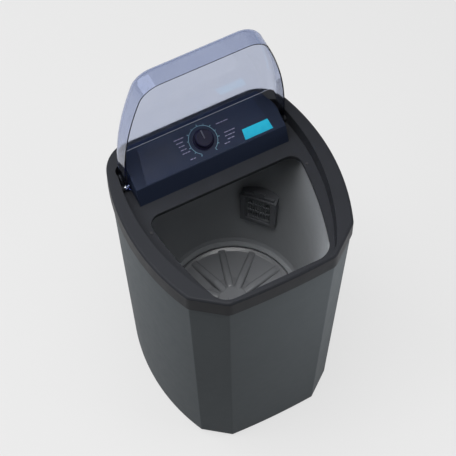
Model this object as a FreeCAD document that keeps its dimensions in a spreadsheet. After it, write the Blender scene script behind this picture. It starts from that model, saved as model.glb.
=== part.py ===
import FreeCAD, Part
import math
import os
import types
import Sketcher

# Semi-automatic washing machine, lid open. Millimetres, floor at z = 0, front at -y, left/right symmetric.

V = FreeCAD.Vector
UP = V(0, 0, 1)
SIDES = (-1, 1)

SIZES = [
    # plan of the rim and cabinet
    ("side_reach", 271, "half width at the widest point of the rim"),
    ("side_bow_radius", 540, "plan radius of the bowed sides"),
    ("side_bow_y", 30, "y of the widest point"),
    ("front_reach", 260, "distance of the front face from the centre"),
    ("rear_reach", 260, "distance of the rear face from the centre"),
    ("front_bow_radius", 2000, "plan radius of the front face"),
    ("crease_x", 143, "half width of the front face"),
    ("crease_behind", 5, "front creases, behind the front face"),
    ("crease_angle", 37.5, "turn of the corner facet from the front, degrees"),
    ("rear_corner", 85, "plan radius of the rear corners"),
    ("crease_round", 12, "plan radius of the cabinet's front creases"),
    ("elbow_round", 9, "plan radius where the cabinet's facets meet the sides"),
    ("rim_crease_round", 30, "plan radius of the rim's front creases"),
    ("rim_elbow_round", 25, "plan radius where the rim's facets meet the sides"),
    ("taper_front", 17, "how far the front runs in at the floor"),
    ("taper_facet", 24, "how far the corner facets run in at the floor"),
    ("taper_side", 29, "how far the sides run in at the floor"),
    ("wall", 3, "cabinet and tub wall"),
    ("base_thick", 4, "thickness of the base ring"),
    ("base_wide", 36, "width of the base ring inside the wall"),
    ("foot_side", 113, "foot centres inside the widest point"),
    ("foot_front", 102, "front foot centres behind the front face"),
    ("foot_rear", 55, "rear foot centres ahead of the rear face"),
    # heights
    ("foot_height", 14, "height of the feet"),
    ("joint_height", 796, "top edge of the cabinet"),
    ("shadow_gap", 4, "dark gap between cabinet and rim"),
    ("rim_rise", 56, "height of the rim wall above the gap"),
    ("ledge_rise", 18, "lid ledge above the gap"),
    ("deck_wall", 3.5, "deck moulding wall"),
    # lid pocket
    ("pocket_inside", 39, "side of the lid pocket at the ledge, inside the widest point"),
    ("pocket_bow_radius", 560, "plan radius of the pocket sides"),
    ("pocket_bow_y", 59, "y of the widest point of the pocket"),
    ("pocket_behind", 17, "front wall of the pocket, behind the front face"),
    ("pocket_corner", 50, "plan radius of the pocket's front corners"),
    ("pocket_draft", 4, "draft of the pocket wall over its height"),
    ("trench_inside", 47, "side of the hinge trench, inside the widest point"),
    ("trench_ahead", 55, "rear wall of the hinge trench, ahead of the rear face"),
    ("opening_inset", 10, "tub opening inside the lid's outline"),
    ("opening_ahead", 200, "rear edge of the tub opening, ahead of the rear face"),
    # lid
    ("lid_inset", 15, "widest point of the lid, inside that of the pocket"),
    ("lid_behind", 6, "front of the closed lid, behind the pocket's front wall"),
    ("lid_bow_ahead", 160, "widest point of the lid, ahead of the rear face"),
    ("lid_overrun", 5, "lid's sides past the pocket's, where both would meet the lid's front"),
    ("lid_corner", 60, "plan radius of the lid's front corners"),
    ("lid_wall", 3, "lid wall"),
    ("lid_depth", 57, "height of the closed lid over its free edge"),
    ("lid_edge_radius", 20, "rounding of the lid's upper edge"),
    ("lid_lift", 2, "free edge of the closed lid over the ledge"),
    ("lid_ahead", 183, "rear edge of the closed lid's plate, ahead of the rear face"),
    ("pivot_ahead", 103, "hinge axis, ahead of the rear face"),
    ("pivot_rise", 10, "hinge axis above the ledge"),
    ("eye_radius", 9, "hinge eye radius"),
    ("eye_inset", 9, "inner face of the hinge eyes, inside the lid's side"),
    ("pin_radius", 4, "hinge pin radius"),
    ("pin_play", 0.05, "radial play of running fits"),
    ("socket_gap", 2.5, "hinge sockets, outside the lid's side"),
    ("socket_long", 25.5, "length of the hinge sockets"),
    ("stop_tall", 26, "height of the lid stops"),
    ("stop_deep", 12, "depth of the lid stops"),
    # console
    ("console_inside", 12, "side of the console, inside the lid's side at the hinge"),
    ("console_front_ahead", 163, "front foot of the console, ahead of the rear face"),
    ("panel_front_ahead", 145, "front edge of the sloping panel, ahead of the rear face"),
    ("panel_rear_ahead", 51, "rear edge of the sloping panel, ahead of the rear face"),
    ("panel_front_rise", 48, "front edge of the panel over the ledge"),
    ("panel_angle", 18.8, "slope of the panel, degrees"),
    ("console_rear_ahead", 20, "rear foot of the console, ahead of the rear face"),
    ("console_wall", 3, "console wall"),
    ("film_thick", 0.6, "panel film"),
    ("film_front_inside", 28, "film's front corners, inside the console's side"),
    ("film_rear_inside", 46, "film's rear corners, inside the console's side"),
    ("tab_inside", 4, "right edge of the coloured tab, inside the film's corner"),
    ("tab_width", 76, "width of the coloured tab"),
    ("tab_deep", 27, "depth of the coloured tab"),
    ("knob_radius", 22, "knob grip radius"),
    ("knob_skirt", 27, "knob skirt radius"),
    ("knob_tall", 20, "knob height"),
    ("timer_wide", 54, "timer case width"),
    ("timer_deep", 30, "timer case depth"),
    ("timer_shaft_radius", 3, "timer shaft radius"),
    # tub
    ("tub_inset", 9, "tub top inside the pocket"),
    ("tub_split", 270, "joint of the upper and the lower tub wall, above the foot of the wall"),
    ("tub_ahead", 64, "rear wall of the tub at its top, ahead of the rear face"),
    ("tub_rear_corner", 90, "plan radius of the tub's rear corners"),
    ("bowl_radius", 190, "tub radius where the bowl starts"),
    ("bowl_height", 309, "height where the bowl starts"),
    ("floor_height", 285, "tub floor"),
    ("sump_radius", 176, "radius of the pulsator recess"),
    ("sump_depth", 14, "depth of the pulsator recess"),
    ("flange_wide", 8, "width of the tub flange"),
    # pulsator and drive
    ("pulsator_radius", 172, "pulsator radius"),
    ("pulsator_gap", 4, "pulsator above the recess floor"),
    ("fin_count", 12, "fins on the pulsator"),
    ("fin_thick", 20, "fin thickness"),
    ("fin_turn", 14, "bearing of the first fin, degrees"),
    ("fin_tall", 26, "fin height over the disc"),
    ("shaft_radius", 8, "pulsator shaft radius"),
    ("housing_radius", 24, "bearing tube radius"),
    ("housing_long", 100, "bearing tube length"),
    ("housing_flange", 60, "bearing housing flange radius"),
    ("bush_radius", 14, "bush outside radius"),
    ("bush_long", 22, "bush length"),
    ("pulley_radius", 75, "driven pulley radius"),
    ("pinion_radius", 22, "motor pulley radius"),
    ("groove_depth", 7, "pulley groove depth"),
    ("pulley_wide", 16, "pulley width"),
    ("belt_wide", 9, "belt width"),
    ("belt_thick", 6, "belt thickness"),
    ("belt_gap", 0.3, "belt clearance"),
    ("bracket_height", 155, "underside of the motor bracket"),
    ("bracket_thick", 3, "motor bracket thickness"),
    ("post_screw_long", 20, "thread length of the bracket bolts"),
    ("bracket_half", 125, "half width of the motor bracket"),
    ("bracket_front", 220, "front edge of the motor bracket from the centre"),
    ("bracket_rear", 100, "rear edge of the motor bracket from the centre"),
    ("motor_y", -150, "motor axis y"),
    ("motor_radius", 58, "motor case radius"),
    ("motor_tall", 92, "motor case height"),
    ("rotor_radius", 34, "rotor core radius"),
    ("rotor_gap", 0.6, "air gap between rotor and stator"),
    ("motor_shaft_radius", 6, "motor shaft radius"),
    # rear recess, outlet and cord entry
    ("recess_half", 150, "half width of the rear recess"),
    ("recess_bottom", 60, "bottom of the rear recess"),
    ("recess_top", 330, "top of the rear recess"),
    ("recess_deep", 34, "depth of the rear recess"),
    ("cover_thick", 2, "rear cover thickness"),
    ("outlet_x", 115, "drain outlet x"),
    ("outlet_height", 110, "drain outlet and cord entry height"),
    ("outlet_radius", 12, "drain outlet outside radius"),
    ("outlet_bore", 9, "drain outlet bore radius"),
    ("cord_bore", 4, "cord entry bore radius"),
    ("drain_x", 115, "tub drain x"),
    ("drain_y", 20, "tub drain y"),
    # lint filter
    ("filter_angle", 42, "bearing of the lint filter on the tub wall, degrees"),
    ("filter_gap", 1.8, "lower corners of the filter, inside the tub wall"),
    ("filter_wide", 84, "filter width"),
    ("filter_tall", 130, "filter height"),
    ("filter_thick", 7, "filter frame thickness"),
    ("filter_bottom", 425, "height of the filter's lower edge"),
    ("slide_gap", 0.4, "clearance of the filter in its pocket"),
    ("screw_radius", 2, "screw thread radius"),
    ("screw_head", 4, "screw head radius"),
    ("foot_radius", 18, "foot radius"),
]


class Dim:
    """A number together with the sheet formula that gives it."""

    def __init__(self, value, text):
        self.value = value
        self.text = text

    def _join(self, other, sign, value, swap=False):
        text = other.text if isinstance(other, Dim) else repr(other)
        left, right = (text, self.text) if swap else (self.text, text)
        return Dim(value, f"({left} {sign} {right})")

    def __add__(self, other):
        return self._join(other, "+", self.value + num(other))

    def __radd__(self, other):
        return self._join(other, "+", num(other) + self.value, True)

    def __sub__(self, other):
        return self._join(other, "-", self.value - num(other))

    def __rsub__(self, other):
        return self._join(other, "-", num(other) - self.value, True)

    def __mul__(self, other):
        return self._join(other, "*", self.value * num(other))

    def __rmul__(self, other):
        return self._join(other, "*", num(other) * self.value, True)

    def __truediv__(self, other):
        return self._join(other, "/", self.value / num(other))

    def __neg__(self):
        return Dim(-self.value, f"(0 - {self.text})")


def num(item):
    return item.value if isinstance(item, Dim) else item


def bind(obj, path, item):
    if isinstance(item, Dim):
        obj.setExpression(path, item.text)
    else:
        setattr(obj, path, item)


doc = FreeCAD.newDocument("washing_machine")
sheet = doc.addObject("Spreadsheet::Sheet", "Sizes")
for row, (alias, value, note) in enumerate(SIZES, 1):
    sheet.set(f"A{row}", note)
    sheet.set(f"B{row}", str(value))
    sheet.setAlias(f"B{row}", alias)
doc.recompute()
d = types.SimpleNamespace(**{alias: Dim(value, "Sizes." + alias) for alias, value, note in SIZES})
s = types.SimpleNamespace(**{alias: value for alias, value, note in SIZES})


def follow(name, item):
    """Keeps a place worked out from the sheet under a name of its own."""
    setattr(d, name, item)
    setattr(s, name, item.value)


def root(item):
    return Dim(math.sqrt(item.value), f"sqrt({item.text})")


# places ahead of the rear face
follow("trench_rear", d.rear_reach - d.trench_ahead)
follow("opening_rear", d.rear_reach - d.opening_ahead)
follow("lid_rear", d.rear_reach - d.lid_ahead)
follow("lid_bow_y", d.rear_reach - d.lid_bow_ahead)
follow("pivot_y", d.rear_reach - d.pivot_ahead)
follow("console_front", d.rear_reach - d.console_front_ahead)
follow("panel_front", d.rear_reach - d.panel_front_ahead)
follow("panel_rear", d.rear_reach - d.panel_rear_ahead)
follow("console_rear", d.rear_reach - d.console_rear_ahead)
follow("tub_rear", d.rear_reach - d.tub_ahead)

# places behind the front face, as distances from the centre
follow("crease_y", d.front_reach - d.crease_behind)
follow("pocket_front", d.front_reach - d.pocket_behind)
follow("lid_front", d.pocket_front - d.lid_behind)

# places inside the widest point
follow("pocket_half", d.side_reach - d.pocket_inside)
follow("lid_half", d.pocket_half - d.lid_inset)
follow("trench_half", d.side_reach - d.trench_inside)

# plan radius of the lid's sides, from the widest point to where they would meet the lid's front
ahead = d.lid_front + d.pocket_bow_y
bow = d.pocket_bow_radius
front_half = d.pocket_half - bow + root(bow * bow - ahead * ahead) + d.lid_overrun
drop = d.lid_half - front_half
run = d.lid_front + d.lid_bow_y
follow("lid_bow_radius", (drop * drop + run * run) / (2 * drop))

# hinge parts and console on either side of the lid's bowed side, where it passes the hinge axis
back = d.pivot_y - d.lid_bow_y
bow = d.lid_bow_radius
lid_side = d.lid_half - bow + root(bow * bow - back * back)
follow("eye_inner", lid_side - d.eye_inset)
follow("socket_start", lid_side + d.socket_gap)
follow("socket_end", d.socket_start + d.socket_long)
follow("console_half", lid_side - d.console_inside)
follow("film_front_half", d.console_half - d.film_front_inside)
follow("film_rear_half", d.console_half - d.film_rear_inside)
follow("tab_left", d.film_front_half - d.tab_inside - d.tab_width)

# heights and places that follow from the sheet
gap_top = d.joint_height + d.shadow_gap
rim_top = gap_top + d.rim_rise
ledge = gap_top + d.ledge_rise
pivot_z = ledge + d.pivot_rise
free_edge = ledge + d.lid_lift
lid_top = free_edge + d.lid_depth
sump_floor = d.floor_height - d.sump_depth
under_sump = sump_floor - d.wall
cover_y = d.rear_reach - d.shadow_gap - d.recess_deep
slope = math.tan(math.radians(s.panel_angle))
panel_mid_y = (s.panel_front + s.panel_rear) / 2
panel_front_z = ledge.value + s.panel_front_rise
panel_mid_z = panel_front_z + (panel_mid_y - s.panel_front) * slope
panel_half = (s.panel_rear - s.panel_front) / 2 / math.cos(math.radians(s.panel_angle))
PANEL = FreeCAD.Placement(V(0, panel_mid_y, panel_mid_z), FreeCAD.Rotation(V(1, 0, 0), s.panel_angle))
far = 2 * (s.side_reach + s.front_reach)
nodes = []


# helpers for document objects

def node(obj, label):
    obj.Label = label
    nodes.append(obj)
    return obj


def place(obj, x=0, y=0, z=0, axis=UP, angle=0):
    rotation = FreeCAD.Rotation(axis, angle)
    obj.Placement = FreeCAD.Placement(V(num(x), num(y), num(z)), rotation)
    for letter, item in zip("xyz", (x, y, z)):
        if isinstance(item, Dim):
            obj.setExpression("Placement.Base." + letter, item.text)
    return obj


def cylinder(radius, tall, *at, axis=UP, angle=0):
    obj = doc.addObject("Part::Cylinder", "Cylinder")
    bind(obj, "Radius", radius)
    bind(obj, "Height", tall)
    return place(obj, *at, axis=axis, angle=angle)


def box(wide, deep, tall, *at, axis=UP, angle=0):
    obj = doc.addObject("Part::Box", "Box")
    bind(obj, "Length", wide)
    bind(obj, "Width", deep)
    bind(obj, "Height", tall)
    return place(obj, *at, axis=axis, angle=angle)


def cut(base, *tools):
    obj = doc.addObject("Part::Cut", "Cut")
    obj.Base = base
    obj.Tool = tools[0] if len(tools) == 1 else group(*tools)
    return obj


def fuse(*items):
    obj = doc.addObject("Part::MultiFuse", "Fuse")
    obj.Shapes = list(items)
    return obj


def group(*items):
    obj = doc.addObject("Part::Compound", "Group")
    obj.Links = list(items)
    return obj


def solid(shape, label):
    obj = doc.addObject("Part::Feature", label)
    obj.Shape = shape
    return node(obj, label)


def turned(label, profile, *at, axis=UP, angle=0):
    """Body turned about its own z from (radius, height) corners; both are never negative."""
    body = doc.addObject("PartDesign::Body", label + "_body")
    sketch = body.newObject("Sketcher::SketchObject", label + "_profile")
    plane = [item for item in body.Origin.OriginFeatures if item.Role == "XZ_Plane"][0]
    sketch.AttachmentSupport = [(plane, "")]
    sketch.MapMode = "FlatFace"
    corners = [V(num(r), num(h), 0) for r, h in profile]
    count = len(corners)
    for index in range(count):
        sketch.addGeometry(Part.LineSegment(corners[index], corners[(index + 1) % count]))
    for index in range(count):
        sketch.addConstraint(Sketcher.Constraint("Coincident", index, 2, (index + 1) % count, 1))
    for index, (r, h) in enumerate(profile):
        for kind, line, item in (("DistanceX", -2, r), ("DistanceY", -1, h)):
            if num(item) == 0:
                sketch.addConstraint(Sketcher.Constraint("PointOnObject", index, 1, line))
                continue
            rule = sketch.addConstraint(Sketcher.Constraint(kind, -1, 1, index, 1, num(item)))
            if isinstance(item, Dim):
                sketch.setExpression(f"Constraints[{rule}]", item.text)
    turn = body.newObject("PartDesign::Revolution", label + "_turn")
    turn.Profile = sketch
    turn.ReferenceAxis = (sketch, ["V_Axis"])
    turn.Angle = 360
    return node(place(body, *at, axis=axis, angle=angle), label)


def drilled(label, holes, profile, *at):
    """Turned body with holes drilled through it."""
    blank = turned(label + "_blank", profile, *at)
    nodes.remove(blank)
    return node(cut(blank, *holes), label)


def screw(long, *at, axis=UP, angle=0, head=3):
    """Screw with its head's underside at the given point and its thread along the local z."""
    thread = cylinder(d.screw_radius, long)
    cap = cylinder(d.screw_head, head, 0, 0, -head)
    return place(fuse(thread, cap), *at, axis=axis, angle=angle)


# helpers for shapes

def rounded(shape, edges, radius):
    return shape.makeFillet(radius, edges) if edges else shape


def edges_at(shape, z):
    found = []
    for edge in shape.Edges:
        bound = edge.BoundBox
        if abs(bound.ZMin - z) < 1e-4 and abs(bound.ZMax - z) < 1e-4:
            found.append(edge)
    return found


def upright(shape):
    found = []
    for edge in shape.Edges:
        bound = edge.BoundBox
        if bound.ZLength > 1 and bound.XLength < 1e-4 and bound.YLength < 1e-4:
            found.append(edge)
    return found


def prism(wire, bottom_to_top):
    return Part.Face(wire).extrude(V(0, 0, bottom_to_top))


def block(x0, x1, y0, y1, z0, z1):
    return Part.makeBox(x1 - x0, y1 - y0, z1 - z0, V(x0, y0, z0))


def side_view(points, x0, x1):
    """Solid from a closed list of (y, z) points, running from x0 to x1."""
    wire = Part.makePolygon([V(x0, y, z) for y, z in points + points[:1]])
    return Part.Face(wire).extrude(V(x1 - x0, 0, 0))


def plan_view(points, z0, z1):
    wire = Part.makePolygon([V(x, y, z0) for x, y in points + points[:1]])
    return Part.Face(wire).extrude(V(0, 0, z1 - z0))


def rod(radius, tall, base, way=UP):
    return Part.makeCylinder(radius, tall, base, way)


def hose(points, bend, radius, bore=0):
    """Round hose along straight runs joined by bends."""
    runs = []
    start = points[0]
    for before, corner, after in zip(points, points[1:], points[2:]):
        back = (before - corner).normalize()
        on = (after - corner).normalize()
        half = math.acos(max(-1, min(1, back.dot(on)))) / 2
        reach = bend / math.tan(half)
        first = corner + back * reach
        last = corner + on * reach
        centre = corner + (back + on).normalize() * (bend / math.sin(half))
        middle = centre + (corner - centre).normalize() * bend
        runs.append(Part.makeLine(start, first))
        runs.append(Part.Arc(first, middle, last).toShape())
        start = last
    runs.append(Part.makeLine(start, points[-1]))
    path = Part.Wire(runs)

    def swept(size):
        ring = Part.Wire(Part.makeCircle(size, points[0], points[1] - points[0]))
        return path.makePipeShell([ring], True, False)

    return swept(radius).cut(swept(bore)) if bore else swept(radius)


class Plan:
    """Left-right symmetric plan outline: curves from front to rear, joined by rounded corners."""

    def __init__(self, curves, corners):
        self.curves = curves
        self.corners = corners

    @staticmethod
    def shifted(curve, inset):
        kind, x, y, a, b = curve
        if kind == "line":
            return (kind, x + a * inset, y + b * inset, a, b)
        return (kind, x, y, a - inset, b)

    @staticmethod
    def crossing(one, two, near):
        if one[0] == "arc" and two[0] == "line":
            one, two = two, one
        if two[0] == "line":
            _, x1, y1, a1, b1 = one
            _, x2, y2, a2, b2 = two
            det = a1 * b2 - a2 * b1
            c1 = a1 * x1 + b1 * y1
            c2 = a2 * x2 + b2 * y2
            return V((c1 * b2 - c2 * b1) / det, (a1 * c2 - a2 * c1) / det, 0)
        _, cx, cy, radius, _ = two
        if one[0] == "line":
            _, x, y, a, b = one
            away = (x - cx) * a + (y - cy) * b
            half = math.sqrt(radius * radius - away * away)
            foot = V(cx + a * away, cy + b * away, 0)
            way = V(-b, a, 0)
        else:
            _, ox, oy, other, _ = one
            link = V(ox - cx, oy - cy, 0)
            gap = link.Length
            away = (gap * gap + radius * radius - other * other) / (2 * gap)
            half = math.sqrt(radius * radius - away * away)
            foot = V(cx, cy, 0) + link * (away / gap)
            way = V(-link.y, link.x, 0) * (1 / gap)
        choices = [foot + way * half, foot - way * half]
        return min(choices, key=lambda spot: (spot - near).Length)

    @staticmethod
    def touch(centre, curve):
        kind, x, y, a, b = curve
        if kind == "line":
            return centre - V(a, b, 0) * ((centre.x - x) * a + (centre.y - y) * b)
        middle = V(x, y, 0)
        return middle + (centre - middle).normalize() * a

    def right_half(self, inset, extra):
        """Corner arcs of the right half, each as (first point, middle point, last point)."""
        arcs = []
        added = extra or [0] * len(self.curves)
        for index, (near_x, near_y, radius) in enumerate(self.corners):
            size = max(radius - inset, 1.5)
            pair = (0, 1)
            edge = [self.shifted(self.curves[index + k], inset + added[index + k]) for k in pair]
            deep = [self.shifted(curve, size) for curve in edge]
            centre = self.crossing(deep[0], deep[1], V(near_x, near_y, 0))
            first = self.touch(centre, edge[0])
            last = self.touch(centre, edge[1])
            middle = centre + (first + last - centre * 2).normalize() * size
            arcs.append((first, middle, last))
        return arcs

    def wire(self, z, inset=0, extra=None):
        arcs = self.right_half(inset, extra)
        added = extra or [0] * len(self.curves)
        lift = V(0, 0, z)

        def flip(point):
            return V(-point.x, point.y, 0)

        def run(curve, first, last):
            if curve[0] == "line":
                return Part.makeLine(first + lift, last + lift)
            centre = V(curve[1], curve[2], 0)
            middle = centre + (first + last - centre * 2).normalize() * curve[3]
            return Part.Arc(first + lift, middle + lift, last + lift).toShape()

        def bend(points):
            return Part.Arc(*[point + lift for point in points]).toShape()

        shifted = [self.shifted(c, inset + more) for c, more in zip(self.curves, added)]
        edges = [run(shifted[0], flip(arcs[0][0]), arcs[0][0])]
        for index, arc in enumerate(arcs):
            edges.append(bend(arc))
            last = arcs[index + 1][0] if index + 1 < len(arcs) else flip(arc[2])
            edges.append(run(shifted[index + 1], arc[2], last))
        for index in range(len(arcs) - 1, -1, -1):
            arc = [flip(point) for point in reversed(arcs[index])]
            edges.append(bend(arc))
            if index:
                kind, x, y, a, b = shifted[index]
                mirror = (kind, -x, y, -a if kind == "line" else a, b)
                edges.append(run(mirror, arc[2], flip(arcs[index - 1][2])))
        return Part.Wire(edges)

    def ring(self, z0, z1, outer, inner):
        return prism(self.wire(z0, outer), z1 - z0).cut(prism(self.wire(z0, inner), z1 - z0))

    def column(self, z0, z1, inset=0):
        return prism(self.wire(z0, inset), z1 - z0)


def loft(*wires):
    return Part.makeLoft(list(wires), True, True)


# plan outlines
turn = math.radians(s.crease_angle)
front_curve = ("arc", 0, s.front_bow_radius - s.front_reach, s.front_bow_radius, 0)
facet_curve = ("line", s.crease_x, -s.crease_y, -math.sin(turn), math.cos(turn))
side_curve = ("arc", s.side_reach - s.side_bow_radius, s.side_bow_y, s.side_bow_radius, 0)
rear_curve = ("line", 0, s.rear_reach, 0, -1)
rear_spot = (s.side_reach - s.rear_corner, s.rear_reach - s.rear_corner, s.rear_corner)
crease_spot = (s.crease_x, -s.crease_y)
elbow_spot = (s.side_reach * 0.83, -s.crease_y * 0.75)
curves = [front_curve, facet_curve, side_curve, rear_curve]
cabinet_plan = Plan(curves, [crease_spot + (s.crease_round,), elbow_spot + (s.elbow_round,), rear_spot])
rim_rounds = [crease_spot + (s.rim_crease_round,), elbow_spot + (s.rim_elbow_round,), rear_spot]
rim_plan = Plan(curves, rim_rounds)


def bowed(half, bow, widest, front, corner):
    """Flat front, bowed sides and flat rear; the rear and its corners are given later."""

    def with_rear(rear, rear_corner):
        side = ("arc", half - bow, widest, bow, 0)
        edges = [("line", 0, -front, 0, 1), side, ("line", 0, rear, 0, -1)]
        return Plan(edges, [(half * 0.57, -front, corner), (half * 0.91, rear, rear_corner)])

    return with_rear


pocket_like = bowed(s.pocket_half, s.pocket_bow_radius, s.pocket_bow_y, s.pocket_front, s.pocket_corner)
lid_like = bowed(s.lid_half, s.lid_bow_radius, s.lid_bow_y, s.lid_front, s.lid_corner)
pocket_plan = pocket_like(s.trench_rear, 20)
tub_plan = pocket_like(s.tub_rear + s.tub_inset, s.tub_rear_corner)
lid_plan = lid_like(s.trench_rear, 20)
opening_plan = lid_like(s.opening_rear + s.opening_inset, 40)


# cabinet: tapered wall, base ring under it, rear wall and tray let in below the rear wall

def cabinet():
    """Wall of the sides and front, rear wall, base ring and rear tray."""
    taper = [s.taper_front, s.taper_facet, s.taper_side, 0]
    foot = s.foot_height
    top = s.joint_height
    overhang = s.shadow_gap
    floor = foot + s.base_thick

    def tapered(z, inset):
        share = (top - z) / (top - foot)
        return cabinet_plan.wire(z, inset, [share * item for item in taper])

    outer = loft(tapered(foot, overhang), tapered(top, overhang))
    thick = overhang + s.wall
    inner = loft(tapered(floor, thick), tapered(top + 1, thick))
    shell = outer.cut(inner)
    shell = shell.cut(prism(tapered(foot - 1, thick + s.base_wide), s.base_thick + 2))
    slab = block(-far, far, -far, far, foot - 1, floor)
    # the tray is a box open to the rear, with a flange that carries the rear cover
    back = s.rear_reach - overhang
    front = cover_y.value - s.cover_thick
    half = s.recess_half
    low = s.recess_bottom
    high = s.recess_top
    wall = s.wall
    tray = block(-half - wall, half + wall, front - wall, back, low - wall, high + wall)
    hollow = block(-half, half, front, back + 1, low, high)
    window = block(-half + 14, half - 14, front - wall - 1, front + 1, low + 14, high - 14)
    # the rear wall stands on the tray, and the tray keeps the strip of wall under it
    upright = shell.cut(slab)
    side = half + wall
    rear = upright.common(block(-side, side, 0, far, high + wall, far))
    strip = upright.common(block(-side, side, 0, far, floor, low - wall))
    upright = upright.cut(block(-side, side, 0, far, floor - 1, far))
    tray = tray.cut(hollow).cut(window).fuse(strip).removeSplitter()
    return upright, rear, shell.common(slab), tray


cover_spots = [(sx * (s.recess_half - 7), z) for sx in SIDES
               for z in (s.recess_bottom + 7, s.recess_top - 7)]
foot_rows = (d.foot_front - d.front_reach, d.rear_reach - d.foot_rear)
foot_spots = [(sx * (d.side_reach - d.foot_side), y) for sx in SIDES for y in foot_rows]

wall_shape, rear_shape, base_shape, tray_shape = cabinet()
for x, z in cover_spots:
    tray_shape = tray_shape.cut(rod(s.screw_radius, 10, V(x, cover_y.value - 10, z), V(0, 1, 0)))
for x, y in foot_spots:
    base_shape = base_shape.cut(rod(s.screw_radius, 10, V(x.value, y.value, s.foot_height - 1)))
solid(wall_shape, "cabinet_shell")
solid(rear_shape, "rear_wall")
solid(base_shape, "base_ring")
solid(tray_shape, "rear_tray")

# feet and their screws
feet = []
foot_screws = []
for x, y in foot_spots:
    pad = cylinder(d.foot_radius, d.foot_height, x, y, 0)
    well = cylinder(d.screw_head + 1, d.foot_height / 2, x, y, 0)
    hole = cylinder(d.screw_radius, d.foot_height, x, y, 0)
    feet.append(cut(pad, well, hole))
    foot_screws.append(screw(d.foot_height / 2 + d.wall, x, y, d.foot_height / 2))
node(group(*feet), "feet")
node(group(*foot_screws), "foot_screws")


# rim, and inside it the deck with lid pocket, hinge sockets and collar round the tub opening

def pocket_space(grow, bottom):
    top = rim_top.value + 1
    low = bottom - grow
    main = loft(pocket_plan.wire(low, -grow), pocket_plan.wire(top, -grow - s.pocket_draft))
    half = s.trench_half + grow
    ahead = s.opening_rear - 20
    trench = block(-half, half, ahead, s.trench_rear + grow, low, top)
    corners = [edge for edge in upright(trench) if edge.BoundBox.YMin > ahead + 1]
    return main.fuse(rounded(trench, corners, 18 + grow))


def screw_spots():
    """Tub screws on the flange, as plan points."""
    reach = s.pocket_front - 4
    wide = s.pocket_half - 4
    part = s.pocket_half * 0.3
    return [(-part, -reach), (part, -reach), (-wide, 0), (wide, 0), (-wide, part), (wide, part)]


def rim_and_deck():
    top = rim_top.value
    low = gap_top.value
    skin = s.deck_wall
    outer = rim_plan.column(low, top)
    outer = rounded(outer, edges_at(outer, top), 7)
    lined = pocket_space(skin, ledge.value)
    hollow = rim_plan.column(low - 1, top - skin, skin + 0.5).cut(lined)
    body = outer.cut(hollow).cut(pocket_space(0, ledge.value))
    rim = body.cut(lined)
    deck = body.common(lined)
    hem = rim_plan.ring(s.joint_height, low + 4, skin, 8.3 + s.shadow_gap)
    lip = s.shadow_gap + s.wall
    tongue = rim_plan.ring(s.joint_height - 12, s.joint_height + 1, lip + 0.8, 8.3 + s.shadow_gap)
    under = rim_plan.ring(s.joint_height - 1, low + 4, 0, s.shadow_gap + 1.2)
    hem = hem.cut(under.cut(rim_plan.ring(low, low + 4, 0, s.shadow_gap + 1.2)))
    collar = opening_plan.column(ledge.value - 12, ledge.value, s.opening_inset - 3)
    rim = rim.fuse([hem, tongue])
    deck = deck.fuse(collar)
    deck = deck.cut(opening_plan.column(ledge.value - 20, ledge.value + 1, s.opening_inset))
    for side in SIDES:
        start = V(side * s.socket_start, s.pivot_y, pivot_z.value)
        way = V(side, 0, 0)
        long = s.socket_end - s.socket_start
        deck = deck.fuse(rod(s.eye_radius - 1, long, start, way))
        deck = deck.cut(rod(s.pin_radius, long - 2, start, way))
    wire_hole = rod(8, 12, V(loom_x, s.trench_rear + 18, top - 6))
    for x, y in screw_spots():
        deck = deck.cut(rod(s.screw_radius, 3, V(x, y, ledge.value - skin - 0.5)))
    return rim.cut(wire_hole).removeSplitter(), deck.removeSplitter()


loom_x = -s.console_half * 0.2
rim_shape, deck_shape = rim_and_deck()
solid(rim_shape, "top_rim")
solid(deck_shape, "top_deck")

# hinge pins, lid bumpers and lid stops
pins = []
pin_long = d.socket_end - 2 - d.eye_inner + 1
for side in SIDES:
    spot = (side * (d.eye_inner - 1), d.pivot_y, pivot_z)
    pins.append(cylinder(d.pin_radius, pin_long, *spot, axis=V(0, 1, 0), angle=90 * side))
node(group(*pins), "hinge_pins")

bumpers = []
for side in SIDES:
    for x, y in ((0.41 * d.pocket_half, 1.5 - d.lid_front), (d.lid_half - 5, 20)):
        bumpers.append(cylinder(3.5, d.lid_lift - 0.3, side * x, y, ledge))
node(group(*bumpers), "lid_bumpers")

arm_low = (s.lid_rear, free_edge.value + 48)
arm_high = (s.pivot_y + 3, pivot_z.value + 10)
eye_outer = s.socket_start - 3


def opened(point):
    """Where a (y, z) point of the closed lid stands once the lid is open."""
    y, z = point
    return (s.pivot_y + z - pivot_z.value, pivot_z.value + s.pivot_y - y)


def stop_pair():
    (y1, z1), (y2, z2) = opened(arm_high), opened(arm_low)
    lean = (y2 - y1) / (z2 - z1)
    gap = 0.3 * math.sqrt(1 + lean * lean)
    low = ledge.value
    high = low + s.stop_tall

    def face(z):
        return y1 + (z - z1) * lean + gap

    step = low + 10
    rear = face(high) + s.stop_deep
    points = [(face(step), low), (face(step), step), (face(high), high), (rear, high), (rear, low)]
    inner = eye_outer - 2
    outer = s.socket_start + 1.5
    return Part.makeCompound([side_view(points, side * inner, side * outer) for side in SIDES])


solid(stop_pair(), "lid_stops")


# lid, drawn closed and then swung open about the hinge

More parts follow.
